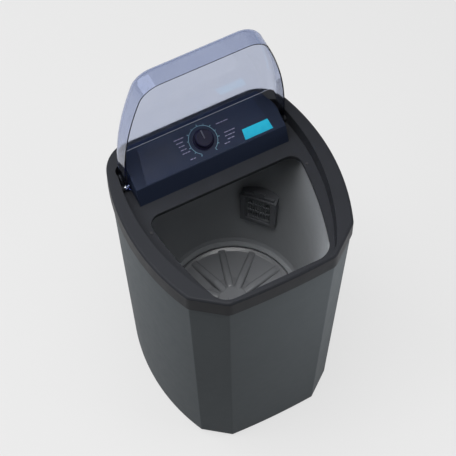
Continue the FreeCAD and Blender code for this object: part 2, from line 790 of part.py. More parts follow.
def lid():
    low = free_edge.value
    high = lid_top.value
    wall = s.lid_wall
    outer = lid_plan.column(low, high)
    outer = rounded(outer, edges_at(outer, high), s.lid_edge_radius)
    inner = lid_plan.column(low - 1, high - wall, wall)
    inner = rounded(inner, edges_at(inner, high - wall), s.lid_edge_radius - wall)
    shell = outer.cut(inner)
    rear = s.trench_rear + 40
    wide = s.pocket_half + 10
    line = [(s.lid_rear, high + 5), arm_low, arm_high, (rear, arm_high[1]), (rear, high + 5)]
    above = side_view(line, -wide, wide)
    behind = block(-wide, wide, s.pivot_y, rear, low - 5, high + 5)
    shell = shell.cut(above).cut(behind)
    for side in SIDES:
        start = V(side * s.eye_inner, s.pivot_y, pivot_z.value)
        way = V(side, 0, 0)
        shell = shell.fuse(rod(s.eye_radius, eye_outer - s.eye_inner, start, way))
    for side in SIDES:
        start = V(side * (s.eye_inner - 5), s.pivot_y, pivot_z.value)
        shell = shell.cut(rod(s.pin_radius + s.pin_play, 30, start, V(side, 0, 0)))
    return shell.removeSplitter()


lid_node = solid(lid(), "lid_shell")
hinge = V(0, s.pivot_y, pivot_z.value)
lid_node.Placement = FreeCAD.Placement(V(0, 0, 0), FreeCAD.Rotation(V(1, 0, 0), -90), hinge)


# console housing with sloping panel

def console_block(shrink):
    low = ledge.value
    rest = rim_top.value
    crest = panel_front_z + (s.panel_rear - s.panel_front) * slope
    profile = [(s.console_front, low), (s.panel_front, panel_front_z), (s.panel_rear, crest),
               (s.panel_rear + 16, crest - 5), (s.console_rear, rest + 12), (s.console_rear, rest),
               (s.trench_rear - 2, rest), (s.trench_rear - 2, low)]
    half = s.console_half
    outline = [(-half, s.console_front - 20), (half, s.console_front - 20), (half, s.pivot_y + 15),
               (half - 26, s.panel_rear + 13), (half - 48, s.console_rear), (48 - half, s.console_rear),
               (26 - half, s.panel_rear + 13), (-half, s.pivot_y + 15)]
    side = Part.makePolygon([V(-half, y, z) for y, z in profile + profile[:1]])
    plan = Part.makePolygon([V(x, y, low - 5) for x, y in outline + outline[:1]])
    if shrink:
        side = side.makeOffset2D(-shrink)
        plan = plan.makeOffset2D(-shrink)
    long = Part.Face(Part.Wire(side)).extrude(V(2 * half, 0, 0))
    tall = Part.Face(Part.Wire(plan)).extrude(V(0, 0, 120))
    return long.common(tall)


def console():
    low = ledge.value
    rest = rim_top.value
    wall = s.console_wall
    outer = console_block(0)
    crest = panel_front_z + (s.panel_rear - s.panel_front) * slope
    top = []
    for edge in outer.Edges:
        bound = edge.BoundBox
        if bound.ZMin > panel_front_z - 1 and bound.ZMax < crest + 1:
            top.append(edge)
    outer = rounded(outer, top, 2)
    shell = outer.cut(console_block(wall))
    half = s.console_half - 8
    shell = shell.cut(block(-half, half, s.console_front + 6, s.trench_rear - 6, low - 1, low + 4))
    shell = shell.cut(block(-60, 60, s.trench_rear + 4, s.console_rear - 6, rest - 1, rest + 4))
    hole = rod(6, 30, V(0, 0, -20))
    hole.Placement = PANEL
    return shell.cut(hole).removeSplitter()


solid(console(), "console_housing")


# panel film and coloured tab, drawn on the sloping face

def on_panel(points, low, high, radius):
    shape = plan_view(points, low, high)
    return rounded(shape, upright(shape), radius)


film_low = -panel_half + 3
film_high = panel_half - 3
film_outline = [(-s.film_front_half, film_low), (s.film_front_half, film_low),
                (s.film_rear_half, film_high), (-s.film_rear_half, film_high)]
film = on_panel(film_outline, 0, s.film_thick, 11)
film = film.cut(rod(6, 5, V(0, 0, -1)))
film_node = solid(film, "panel_film")
film_node.Placement = PANEL

tab_low = film_low + 4
tab_right = s.tab_left + s.tab_width
tab_high = tab_low + s.tab_deep
tab_outline = [(s.tab_left, tab_low), (tab_right, tab_low), (tab_right - 3, tab_high),
               (s.tab_left + 3, tab_high)]
tab = on_panel(tab_outline, s.film_thick, s.film_thick + 0.6, 7)
tab_node = solid(tab, "panel_tab")
tab_node.Placement = PANEL

# timer under the panel, with its shaft and knob
wide = d.timer_wide
case = box(wide, wide, d.timer_deep, -wide / 2, -wide / 2, -d.timer_deep)
bore = cylinder(d.timer_shaft_radius + d.pin_play, d.timer_deep, 0, 0, -d.timer_deep + 4)
collar = cut(case, bore)
lug_l = box(d.timer_wide + 24, 16, 3, -wide / 2 - 12, -8, -3)
lug_hole_l = cylinder(d.screw_radius, 5, -wide / 2 - 6, 0, -4)
lug_hole_r = cylinder(d.screw_radius, 5, wide / 2 + 6, 0, -4)
lug_bore = cylinder(d.timer_shaft_radius + d.pin_play, 5, 0, 0, -4)
timer = fuse(collar, cut(lug_l, lug_hole_l, lug_hole_r, lug_bore))
under_panel = PANEL.multiply(FreeCAD.Placement(V(0, 0, -s.console_wall), FreeCAD.Rotation()))
timer.Placement = under_panel
node(timer, "timer_case")

timer_screws = group(screw(2.5, -wide / 2 - 6, 0, -3), screw(2.5, wide / 2 + 6, 0, -3))
timer_screws.Placement = under_panel
node(timer_screws, "timer_screws")

knob_start = d.film_thick + 0.4
grip = d.knob_radius
tall = d.knob_tall
knob_line = [(d.timer_shaft_radius, 0), (d.knob_skirt, 0), (d.knob_skirt, 2.5), (grip + 1, 5),
             (grip, tall - 2), (grip - 2, tall), (0, tall), (0, tall - 5), (d.timer_shaft_radius, tall - 5)]
knob = turned("knob", knob_line)
knob.Placement = PANEL.multiply(FreeCAD.Placement(V(0, 0, knob_start.value), FreeCAD.Rotation()))
pointer = box(3, grip, 1)
pointer.Placement = knob.Placement.multiply(FreeCAD.Placement(V(-1.5, -2, s.knob_tall), FreeCAD.Rotation()))
node(pointer, "knob_pointer")
shaft_long = d.timer_deep - 6 + d.console_wall + knob_start + tall - 5
shaft = cylinder(d.timer_shaft_radius, shaft_long)
shaft_low = -(s.timer_deep - 6) - s.console_wall
shaft.Placement = PANEL.multiply(FreeCAD.Placement(V(0, 0, shaft_low), FreeCAD.Rotation()))
node(shaft, "timer_shaft")


# tub: bowed wall running into a round bowl, with a recess for the pulsator

def round_like(wire, radius, z):
    """Circle cut at the bearings of another outline's corners, so the two can be joined."""
    points = []
    for edge in wire.OrderedEdges:
        first = edge.valueAt(edge.FirstParameter)
        last = edge.valueAt(edge.LastParameter)
        points.append((first, last))
    bearings = []
    for index, pair in enumerate(points):
        after = points[(index + 1) % len(points)]
        shared = pair[0] if min((pair[0] - q).Length for q in after) < 1e-6 else pair[1]
        bearings.append(math.atan2(shared.y, shared.x))
    edges = []
    for index, end in enumerate(bearings):
        start = bearings[index - 1]
        while end < start:
            end += 2 * math.pi
        spots = [start, (start + end) / 2, end]
        points = [V(radius * math.cos(b), radius * math.sin(b), z) for b in spots]
        edges.append(Part.Arc(*points).toShape())
    return Part.Wire(edges)


def tub_space(inset):
    top = ledge.value - s.deck_wall
    outline = tub_plan.wire(top, s.tub_inset + inset)
    circle = round_like(outline, s.bowl_radius - inset, s.bowl_height)
    return loft(circle, outline)


def turned_shape(points):
    wire = Part.makePolygon([V(r, 0, z) for r, z in points + points[:1]])
    return Part.Face(wire).revolve(V(0, 0, 0), UP, 360)


def tub_mouldings():
    """Upper tub wall with its flange, lower wall, and the base with the bowl."""
    wall = s.wall
    floor = s.floor_height
    sump = sump_floor.value
    bowl = s.bowl_radius
    start = s.bowl_height
    rim = s.sump_radius
    side = tub_space(0).cut(tub_space(wall))
    inside = [(bowl - wall, start), (bowl - wall - 4, start - 14), (bowl - 16, floor), (rim, floor),
              (rim, sump), (20, sump)]
    outside = [(20, sump - wall), (rim + wall, sump - wall), (rim + wall, floor - wall),
               (bowl - 14, floor - wall), (bowl - 1, start - 14), (bowl, start)]
    bottom = turned_shape(inside + outside)
    top = ledge.value - s.deck_wall
    flange = tub_plan.ring(top - wall, top, s.tub_inset - s.flange_wide, s.tub_inset + 1)
    upper = block(-far, far, -far, far, start + s.tub_split, top + 1)
    body = side.common(upper).fuse(flange)
    lower = side.cut(upper)
    collar_room = opening_plan.column(top - 12, top + 1, s.opening_inset - 3.3)
    body = body.cut(collar_room.common(block(-far, far, -far, s.opening_rear - 5, 0, top + 1)))
    for x, y in screw_spots():
        body = body.cut(rod(s.screw_radius, 10, V(x, y, top - 8)))
    bottom = bottom.cut(rod(s.outlet_bore, 20, V(s.drain_x, s.drain_y, sump - wall - 5)))
    for x, y in flange_spots:
        bottom = bottom.cut(rod(s.screw_radius, 10, V(x, y, sump - wall - 2)))
    return body.removeSplitter(), lower.removeSplitter(), bottom.removeSplitter()


bolt_ring = (s.housing_radius + s.housing_flange) / 2
flange_spots = [(bolt_ring * math.cos(a), bolt_ring * math.sin(a)) for a in (0.5, 2.07, 3.64, 5.21)]
tub_shape, lower_shape, bowl_shape = tub_mouldings()
solid(tub_shape, "tub")
solid(lower_shape, "tub_wall")
solid(bowl_shape, "tub_base")
tub_screws = [screw(d.wall + 2, x, y, ledge - d.deck_wall - d.wall) for x, y in screw_spots()]
node(group(*tub_screws), "tub_screws")

# bearing housing under the tub, with bushes and seal
tube = d.housing_radius
long = d.housing_long
neck = d.wall + 5
housing_low = under_sump - long
bush = d.bush_radius
holes = [cylinder(d.screw_radius, 20, x, y, under_sump - 12) for x, y in flange_spots]
rim = d.housing_flange
housing_line = [(bush, 0), (tube, 0), (tube, long - 6), (rim, long - 6), (rim, long), (19.7, long),
                (19.7, long + neck), (bush, long + neck)]
drilled("bearing_housing", holes, housing_line, 0, 0, housing_low)
running = d.shaft_radius + d.pin_play
sleeve_line = [(running, 0), (bush, 0), (bush, d.bush_long), (running, d.bush_long)]
turned("lower_bush", sleeve_line, 0, 0, housing_low)
turned("upper_bush", sleeve_line, 0, 0, under_sump - d.bush_long)
seal_line = [(running, 0), (bush, 0), (bush, neck), (running + 3, neck), (running, neck - 2)]
turned("shaft_seal", seal_line, 0, 0, under_sump)
node(group(*[screw(8, x, y, under_sump - 6) for x, y in flange_spots]), "housing_screws")

# pulsator with fins, on its shaft
disc_low = sump_floor + d.pulsator_gap


def pulsator():
    low = disc_low.value
    rim = s.pulsator_radius
    under = [(s.shaft_radius, 5), (26, 5), (30, 7), (rim - 12, 2), (rim - 4, 0), (rim, 2)]
    over = [(rim, 9), (rim - 5, 13), (rim - 14, 10), (74, 15), (50, 25), (38, 32)]
    hub = [(12, 32), (12, 20), (s.shaft_radius, 20)]
    disc = turned_shape([(r, low + rise) for r, rise in under + over + hub])
    fins = []
    for index in range(int(s.fin_count)):
        tall = s.fin_tall if index % 2 else s.fin_tall * 0.7
        half = s.fin_thick / 2
        crest = 12 + tall
        points = [(24, 12), (24, 26), (44, crest), (70, crest), (rim - 22, 17), (rim - 8, 11), (rim - 30, 8)]
        wire = Part.makePolygon([V(r, -half, low + rise) for r, rise in points + points[:1]])
        fin = Part.Face(wire).extrude(V(0, 2 * half, 0))
        flat_edges = [edge for edge in fin.Edges if edge.BoundBox.YLength < 1e-4]
        crown = [edge for edge in flat_edges if edge.BoundBox.ZMin > low + 16]
        fin = rounded(fin, crown, half * 0.7)
        fin.rotate(V(0, 0, 0), UP, s.fin_turn + index * 360 / s.fin_count)
        fins.append(fin)
    body = disc.fuse(fins)
    bore = rod(12, 30, V(0, 0, low + 20))
    return body.cut(bore).removeSplitter()


solid(pulsator(), "pulsator")
turned("pulsator_nut", [(0, 0), (11, 0), (11, 6), (9, 8), (0, 8)], 0, 0, disc_low + 20)
turned("pulsator_cap", [(0, 0), (11.9, 0), (11.9, 2), (13, 2), (12, 6), (0, 7)], 0, 0, disc_low + 30)
pulley_low = d.bracket_height - 4 - d.pulley_wide
shaft_low = pulley_low - 12
shaft_tall = disc_low + 20 - shaft_low
shaft_line = [(0, 0), (d.shaft_radius, 0), (d.shaft_radius, shaft_tall), (0, shaft_tall)]
turned("drive_shaft", shaft_line, 0, 0, shaft_low)

# pulleys and belt
wide = d.pulley_wide
side = (wide - d.belt_wide - 1) / 2
big = d.pulley_radius
root = big - d.groove_depth
web = big - 16
lower_line = [(d.shaft_radius, 0), (18, 0), (18, 4), (web, 4), (web, 0), (big, 0), (big, side), (root, side)]
upper_line = [(root, wide - side), (big, wide - side), (big, wide), (web, wide), (web, 10), (18, 10),
              (18, wide), (d.shaft_radius, wide)]
turned("drive_pulley", lower_line + upper_line, 0, 0, pulley_low)
turned("pulley_nut", [(d.shaft_radius, 0), (13, 0), (13, 7), (d.shaft_radius, 7)], 0, 0, pulley_low - 7)
small = d.pinion_radius
root = small - d.groove_depth
pinion_line = [(d.motor_shaft_radius, 0), (small, 0), (small, side), (root, side), (root, wide - side),
               (small, wide - side), (small, wide), (d.motor_shaft_radius, wide)]
turned("motor_pulley", pinion_line, 0, d.motor_y, pulley_low)


def belt():
    """Flat loop round both pulleys."""
    gap = s.belt_gap
    low = num(pulley_low) + (s.pulley_wide - s.belt_wide) / 2
    seat = gap - s.groove_depth
    axes = [(0, s.pulley_radius + seat), (s.motor_y, s.pinion_radius + seat)]

    def loop(grow):
        (y1, r1), (y2, r2) = [(y, r + grow) for y, r in axes]
        tilt = math.asin((r1 - r2) / (y1 - y2))
        c = math.cos(tilt)
        sn = math.sin(tilt)

        def spot(y, r, x):
            return V(x * r * c, y - r * sn, low)

        a, b = spot(y1, r1, 1), spot(y2, r2, 1)
        e, f = spot(y2, r2, -1), spot(y1, r1, -1)
        front_bend = Part.Arc(b, V(0, y2 - r2, low), e).toShape()
        rear_bend = Part.Arc(f, V(0, y1 + r1, low), a).toShape()
        edges = [Part.makeLine(a, b), front_bend, Part.makeLine(e, f), rear_bend]
        return prism(Part.Wire(edges), s.belt_wide)

    return loop(s.belt_thick).cut(loop(0))


solid(belt(), "drive_belt")

# motor bracket hung from the tub floor on posts
sump = d.sump_radius
shares = ((0.426, 0.426), (0.636, -0.313))
post_spots = [(sx * across * sump, along * sump) for across, along in shares for sx in SIDES]
bolt = 0.655 * d.motor_radius
bolt_spots = [(sx * bolt, sy * bolt) for sx in SIDES for sy in SIDES]
deep = d.bracket_front + d.bracket_rear
plate = box(2 * d.bracket_half, deep, d.bracket_thick, -d.bracket_half, -d.bracket_front, d.bracket_height)
through = d.bracket_height - 5
holes = [cylinder(tube + 1, 20, 0, 0, through), cylinder(30, 20, 0, d.motor_y, through)]
holes += [cylinder(d.screw_radius, 20, x, y, through) for x, y in post_spots]
holes += [cylinder(d.screw_radius, 20, x, d.motor_y + y, through) for x, y in bolt_spots]
node(cut(plate, *holes), "motor_bracket")
bracket_top = d.bracket_height + d.bracket_thick
posts = []
for x, y in post_spots:
    post = cylinder(9, under_sump - bracket_top, x, y, bracket_top)
    posts.append(cut(post, cylinder(d.screw_radius, d.post_screw_long + 10, x, y, bracket_top)))
node(group(*posts), "bracket_posts")
bracket_bolts = [screw(d.post_screw_long, x, y, d.bracket_height) for x, y in post_spots]
node(group(*bracket_bolts), "bracket_bolts")

# motor: case with two bells, bearings, rotor, shaft and fan
core = d.rotor_radius + d.rotor_gap
shell = d.motor_radius
tall = d.motor_tall
axle = d.motor_shaft_radius
holes = [cylinder(d.screw_radius, 12, x, d.motor_y + y, bracket_top - 1) for x, y in bolt_spots]
coil = core + 14
outer_line = [(16, 0), (shell - 10, 0), (shell, 8), (shell, tall - 8), (shell - 10, tall), (16, tall)]
inner_line = [(16, tall - 8), (coil, tall - 8), (coil, tall - 26), (core, tall - 26), (core, 26), (coil, 26),
              (coil, 8), (16, 8)]
drilled("motor_case", holes, outer_line + inner_line, 0, d.motor_y, bracket_top)
motor_bolts = [screw(d.bracket_thick + 7, x, d.motor_y + y, d.bracket_height) for x, y in bolt_spots]
node(group(*motor_bolts), "motor_bolts")
ring = [(axle + d.pin_play, 0), (16, 0), (16, 8), (axle + d.pin_play, 8)]
turned("motor_bush_lower", ring, 0, d.motor_y, bracket_top)
turned("motor_bush_upper", ring, 0, d.motor_y, bracket_top + tall - 8)
rotor_line = [(axle, 0), (d.rotor_radius, 0), (d.rotor_radius, tall - 56), (axle, tall - 56)]
turned("rotor_core", rotor_line, 0, d.motor_y, bracket_top + 28)
turned("motor_shaft", [(0, 0), (axle, 0), (axle, tall + 27), (0, tall + 27)], 0, d.motor_y, bracket_top - 25)
fan_line = [(axle, 0), (28, 0), (28, 3), (12, 3), (12, 10), (axle, 10)]
turned("cooling_fan", fan_line, 0, d.motor_y, bracket_top + 12)

# capacitor and its clip
cap_x = -40 - d.motor_radius
cap_y = d.motor_y - 25
turned("capacitor", [(0, 0), (17, 0), (17, 68), (15, 70), (0, 70)], cap_x, cap_y, bracket_top)
clip = cut(cylinder(19, 16, cap_x, cap_y, bracket_top), cylinder(17, 16, cap_x, cap_y, bracket_top))
node(clip, "capacitor_clip")

# drain elbow under the tub, inner hose with clamps, outlet and cord entry in the rear cover
drain = (d.drain_x, d.drain_y)
collar = cylinder(d.outlet_radius + 6, 4, *drain, under_sump - 4)
elbow = fuse(collar, cylinder(d.outlet_radius, 26, *drain, under_sump - 26))
node(cut(elbow, cylinder(d.outlet_bore, 40, *drain, under_sump - 35)), "tub_drain")
hose_wall = 3
sleeve = d.outlet_radius + hose_wall
cover_front = cover_y.value - s.cover_thick
tail = cover_front - 68
run_z = bracket_top.value + 50
drop = [V(s.drain_x, s.drain_y, under_sump.value - 6), V(s.drain_x, s.drain_y, run_z),
        V(s.outlet_x, tail, run_z), V(s.outlet_x, tail, s.outlet_height),
        V(s.outlet_x, cover_front - 8, s.outlet_height)]
solid(hose(drop, 24, sleeve.value, s.outlet_radius), "drain_hose")
clamp_z = under_sump - 18
clamp_a = cut(cylinder(sleeve + 1.5, 8, *drain, clamp_z), cylinder(sleeve, 8, *drain, clamp_z))
flat = {"axis": V(1, 0, 0), "angle": -90}
ends = (d.outlet_x, cover_y - d.cover_thick - 20, d.outlet_height)
clamp_b = cut(cylinder(sleeve + 1.5, 8, *ends, **flat), cylinder(sleeve, 8, *ends, **flat))
node(group(clamp_a, clamp_b), "hose_clamps")

# rear cover with vents, outlet spigot and cord gland
half = d.recess_half - 0.5
cover_tall = d.recess_top - d.recess_bottom - 1
plate = box(half * 2, d.cover_thick, cover_tall, -half, cover_y - d.cover_thick, d.recess_bottom + 0.5)
holes = [cylinder(d.screw_radius, 10, x, cover_y - 5, z, **flat) for x, z in cover_spots]
holes.append(cylinder(d.outlet_radius, 10, d.outlet_x, cover_y - 5, d.outlet_height, **flat))
holes.append(cylinder(d.cord_bore + 4, 10, -d.outlet_x, cover_y - 5, d.outlet_height, **flat))
vent = 0.433 * d.recess_half
for index in range(7):
    holes.append(box(2 * vent, 10, 6, -vent, cover_y - 5, d.recess_top - 140 + index * 14))
node(cut(plate, *holes), "rear_cover")
back = {"axis": V(1, 0, 0), "angle": 90}
node(group(*[screw(5, x, cover_y, z, **back) for x, z in cover_spots]), "rear_cover_screws")
pipe = d.outlet_radius
spigot = [(d.outlet_bore, 0), (pipe, 0), (pipe, 32), (pipe + 10, 32), (pipe + 10, 35), (pipe, 35), (pipe, 62),
          (d.outlet_bore, 62)]
turned("drain_outlet", spigot, d.outlet_x, cover_y - 32, d.outlet_height, **flat)
cord = d.cord_bore
seat = 6 - d.cover_thick
gland = [(cord, 0), (cord + 9, 0), (cord + 9, seat), (cord + 4, seat), (cord + 4, 6), (cord + 9, 6),
         (cord + 9, 9), (cord + 5, 20), (cord, 20)]
turned("cord_gland", gland, -d.outlet_x, cover_y - 6, d.outlet_height, **flat)

# wiring from the timer down behind the tub to the motor
behind = s.trench_rear + 18
under = s.recess_top + 32
case_y = s.motor_y + math.sqrt(s.motor_radius ** 2 - (loom_x + 5) ** 2) + 0.3
start_z = rim_top.value + 16
path = [(s.trench_rear - 12, start_z), (behind, start_z), (behind, under), (behind - 28, under),
        (behind - 28, run_z), (case_y, run_z)]
loom = [V(loom_x, y, z) for y, z in path]
solid(hose(loom, 12, 5), "wiring_loom")


# lint filter in a pocket on the tub wall
bearing = s.filter_angle


def wall_beyond(across):
    """Distance from the tub axis to the tub wall, at the filter's foot and to one side of its middle."""
    turn = math.radians(bearing)
    way = V(math.cos(turn), math.sin(turn), 0)
    start = V(-math.sin(turn), math.cos(turn), 0) * across + UP * s.filter_bottom
    return Part.makeLine(start, start + way * far).common(tub_space(s.wall)).Length


filter_nearest = min(wall_beyond(sx * s.filter_wide / 2) for sx in SIDES)
filter_reach = filter_nearest - s.filter_thick - s.filter_gap


def toward_filter(shape):
    shape.rotate(V(0, 0, 0), UP, bearing)
    return shape


def filter_pocket():
    low = s.filter_bottom - 8
    high = s.filter_bottom + s.filter_tall - 10
    half = s.filter_wide / 2
    gap = s.slide_gap
    reach = filter_reach
    thick = s.filter_thick
    wall = toward_filter(block(reach - 5, far, -half - 7, half + 7, low, high))
    slot = block(reach - gap, reach + thick + gap, -half - gap, half + gap, s.filter_bottom - gap, high + 50)
    window = block(reach - 10, reach + 5, -half + 8, half - 8, s.filter_bottom + 8, high - 8)
    hollow = block(reach + 5, far, -half + 4, half - 4, s.filter_bottom, high - 6)
    body = wall.common(tub_space(s.wall))
    for tool in (slot, window, hollow):
        body = body.cut(toward_filter(tool))
    return body.removeSplitter()


solid(filter_pocket(), "filter_pocket")


def filter_frame():
    half = s.filter_wide / 2
    low = s.filter_bottom
    high = low + s.filter_tall
    reach = filter_reach
    thick = s.filter_thick
    frame = block(reach, reach + thick, -half, half, low, high)
    hole = block(reach - 1, reach + thick + 1, -half + 9, half - 9, low + 10, high - 20)
    tab = block(reach + 1, reach + thick - 1, -16, 16, high - 1, high + 14)
    groove = block(reach + 2, reach + 5, -half + 6, half - 6, low + 7, high - 17)
    return toward_filter(frame.cut(hole).fuse(tab).cut(groove))


def filter_mesh():
    half = s.filter_wide / 2 - 6
    low = s.filter_bottom + 7
    high = s.filter_bottom + s.filter_tall - 17
    reach = filter_reach + 2
    sheet_metal = block(reach, reach + 3, -half, half, low, high)
    step = 2 * (half - 4) / 9
    slots = []
    for index in range(9):
        left = -half + 4 + index * step
        for floor, roof in ((low + 5, low + 33), (low + 37, low + 65), (low + 69, high - 5)):
            slots.append(block(reach - 1, reach + 4, left + 1, left + step - 1, floor, roof))
    return toward_filter(sheet_metal.cut(slots))


solid(filter_frame(), "filter_frame")
solid(filter_mesh(), "filter_mesh")

# check every object, then write one file for each sub-part
doc.recompute()
for item in doc.Objects:
    if "Invalid" in item.State or "Error" in item.State:
        raise RuntimeError(f"{item.Label} did not build: {item.State}")
os.makedirs("parts", exist_ok=True)
for item in nodes:
    if item.Shape.isNull() or not item.Shape.isValid() or not item.Shape.Solids:
        raise RuntimeError(f"{item.Label} has no sound solid")
    item.Shape.exportStep(f"parts/{item.Label}.step")
print(len(nodes), "sub-parts written")
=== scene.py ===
import math

import bpy
from mathutils import Matrix, Vector


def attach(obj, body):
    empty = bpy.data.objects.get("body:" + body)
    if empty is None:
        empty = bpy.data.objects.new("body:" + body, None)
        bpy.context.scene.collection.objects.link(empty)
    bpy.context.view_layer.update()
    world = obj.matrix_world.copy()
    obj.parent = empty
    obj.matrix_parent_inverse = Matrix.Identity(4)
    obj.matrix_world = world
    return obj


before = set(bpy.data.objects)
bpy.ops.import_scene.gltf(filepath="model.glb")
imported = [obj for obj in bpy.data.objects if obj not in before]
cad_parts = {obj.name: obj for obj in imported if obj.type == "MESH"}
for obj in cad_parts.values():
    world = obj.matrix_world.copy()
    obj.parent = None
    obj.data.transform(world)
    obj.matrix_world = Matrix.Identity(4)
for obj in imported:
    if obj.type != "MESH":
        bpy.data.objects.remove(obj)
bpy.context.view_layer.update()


# finishes
class Finish:
    """A node material being put together: a shader and the texture nodes that feed it."""

    def __init__(self, name, rough=0.5, metal=0.0, specular=0.5, ior=1.46):
        self.material = bpy.data.materials.new(name)
        self.material.use_nodes = True
        self.tree = self.material.node_tree
        self.shader = self.tree.nodes["Principled BSDF"]
        self.shader.inputs["Roughness"].default_value = rough
        self.shader.inputs["Metallic"].default_value = metal
        self.shader.inputs["Specular IOR Level"].default_value = specular
        self.shader.inputs["IOR"].default_value = ior
        self.where = self.tree.nodes.new("ShaderNodeTexCoord").outputs["Object"]

    def link(self, a, b):
        self.tree.links.new(a, b)

    def stretch(self, scale):
        """Object coordinates scaled by a different amount each way."""
        node = self.tree.nodes.new("ShaderNodeMapping")
        node.inputs["Scale"].default_value = scale
        self.link(self.where, node.inputs["Vector"])
        return node.outputs["Vector"]

    def noise(self, scale, detail=4.0, roughness=0.55, where=None, distort=0.0):
        """A noise value, with scale in patches a metre."""
        node = self.tree.nodes.new("ShaderNodeTexNoise")
        node.inputs["Scale"].default_value = scale
        node.inputs["Detail"].default_value = detail
        node.inputs["Roughness"].default_value = roughness
        node.inputs["Distortion"].default_value = distort
        self.link(where or self.where, node.inputs["Vector"])
        return node.outputs["Fac"]

    def spread(self, value, a, b, c, d):
        """The value taken from the range a to b into the range c to d."""
        node = self.tree.nodes.new("ShaderNodeMapRange")
        for key, number in zip(("From Min", "From Max", "To Min", "To Max"), (a, b, c, d)):
            node.inputs[key].default_value = number
        self.link(value, node.inputs["Value"])
        return node.outputs["Result"]

    def mix(self, factor, first, second):
        """A colour between two, each a colour or another node's output."""
        node = self.tree.nodes.new("ShaderNodeMix")
        node.data_type = "RGBA"
        self.link(factor, node.inputs["Factor"])
        slots = [s for s in node.inputs if s.type == "RGBA"]
        for slot, colour in zip(slots, (first, second)):
            if isinstance(colour, (tuple, list)):
                slot.default_value = (*colour, 1.0)
            else:
                self.link(colour, slot)
        return [s for s in node.outputs if s.type == "RGBA"][0]

    def axis(self, name):
        """One of the object's own coordinates, in metres."""
        node = self.tree.nodes.new("ShaderNodeSeparateXYZ")
        self.link(self.where, node.inputs["Vector"])
        return node.outputs[name]

    def colour(self, value):
        self.link(value, self.shader.inputs["Base Color"])
        return self

    def rough(self, value):
        self.link(value, self.shader.inputs["Roughness"])
        return self

    def bump(self, height, strength, distance):
        node = self.tree.nodes.new("ShaderNodeBump")
        node.inputs["Strength"].default_value = strength
        node.inputs["Distance"].default_value = distance
        self.link(height, node.inputs["Height"])
        self.link(node.outputs["Normal"], self.shader.inputs["Normal"])
        return self


def shade(colour, k):
    """The colour made lighter or darker."""
    return tuple(min(1.0, c * k) for c in colour)


def moulded(name, colour, rough=0.5, vary=0.04, grain=900, bump=0.12, scuffs=0.0, specular=0.2):
    """Moulded plastic: a fine grain, slow colour drift, and pale rub marks where asked for."""
    f = Finish(name, rough, specular=specular)
    drift = f.noise(3, 2)
    base = f.mix(f.spread(drift, 0.3, 0.7, 0, 1), shade(colour, 1 - vary), shade(colour, 1 + vary))
    speck = f.noise(420, 2, 0.7)
    base = f.mix(f.spread(speck, 0.62, 0.8, 0, 0.15), base, shade(colour, 1.5))
    if scuffs:
        lines = f.noise(9, 5, 0.62, f.stretch((14, 14, 1.1)), 0.6)
        marks = f.spread(lines, 0.66, 0.80, 0, scuffs)
        base = f.mix(marks, base, shade(colour, 1.6))
    f.colour(base)
    f.rough(f.spread(f.noise(38, 4), 0.3, 0.7, rough - 0.03, rough + 0.03))
    return f.bump(f.noise(grain, 3, 0.6), bump, 0.0004).material


def metal(name, colour, rough=0.3, stretch=(30, 30, 900), vary=0.12):
    """Plated or drawn metal, with fine marks along its working and dull patches."""
    f = Finish(name, rough, metal=1.0)
    lines = f.noise(1.6, 3, 0.6, f.stretch(stretch))
    dull = f.noise(60, 4)
    base = f.mix(f.spread(lines, 0.3, 0.7, 0, 1), shade(colour, 1 - vary), shade(colour, 1 + vary))
    f.colour(f.mix(f.spread(dull, 0.58, 0.75, 0, 0.4), base, shade(colour, 0.62)))
    f.rough(f.spread(dull, 0.3, 0.75, rough - 0.08, rough + 0.16))
    return f.bump(lines, 0.12, 0.0002).material


def rubber(name, colour, rough=0.75):
    """Rubber with a dusty bloom."""
    f = Finish(name, rough, specular=0.25)
    bloom = f.noise(55, 5, 0.65)
    f.colour(f.mix(f.spread(bloom, 0.35, 0.75, 0, 1), colour, shade(colour, 1.9)))
    f.rough(f.spread(bloom, 0.3, 0.7, rough - 0.1, rough + 0.1))
    return f.bump(f.noise(700, 3), 0.2, 0.0004).material


LID_TINT = (0.152, 0.290, 0.66)
LID_TINT_DENSITY = 130.0


def clear_lid():
    """Translucent violet-grey plastic whose tint grows with the thickness seen through."""
    f = Finish("lid_clear", 0.06, specular=0.5, ior=1.49)
    f.shader.inputs["Transmission Weight"].default_value = 1.0
    haze = f.noise(16, 4)
    f.colour(f.mix(f.spread(haze, 0.3, 0.7, 0, 1), (0.95, 0.955, 0.975), (0.985, 0.985, 0.99)))
    f.rough(f.spread(f.noise(45, 5, 0.6), 0.35, 0.75, 0.03, 0.10))
    f.bump(f.noise(22, 2), 0.04, 0.0006)
    tint = f.tree.nodes.new("ShaderNodeVolumeAbsorption")
    tint.inputs["Color"].default_value = (*LID_TINT, 1)
    tint.inputs["Density"].default_value = LID_TINT_DENSITY
    out = [n for n in f.tree.nodes if n.type == "OUTPUT_MATERIAL"][0]
    f.link(tint.outputs["Volume"], out.inputs["Volume"])
    return f.material


def printed_film():
    """Navy film with slow clouds and a leather-like grain."""
    f = Finish("panel_navy", 0.36, specular=0.06)
    cloud = f.noise(30, 4)
    f.colour(f.mix(f.spread(cloud, 0.35, 0.75, 0, 0.35), (0.010, 0.015, 0.0325), (0.014, 0.020, 0.040)))
    f.rough(f.spread(cloud, 0.3, 0.7, 0.28, 0.42))
    return f.bump(f.noise(1300, 2), 0.06, 0.0002).material


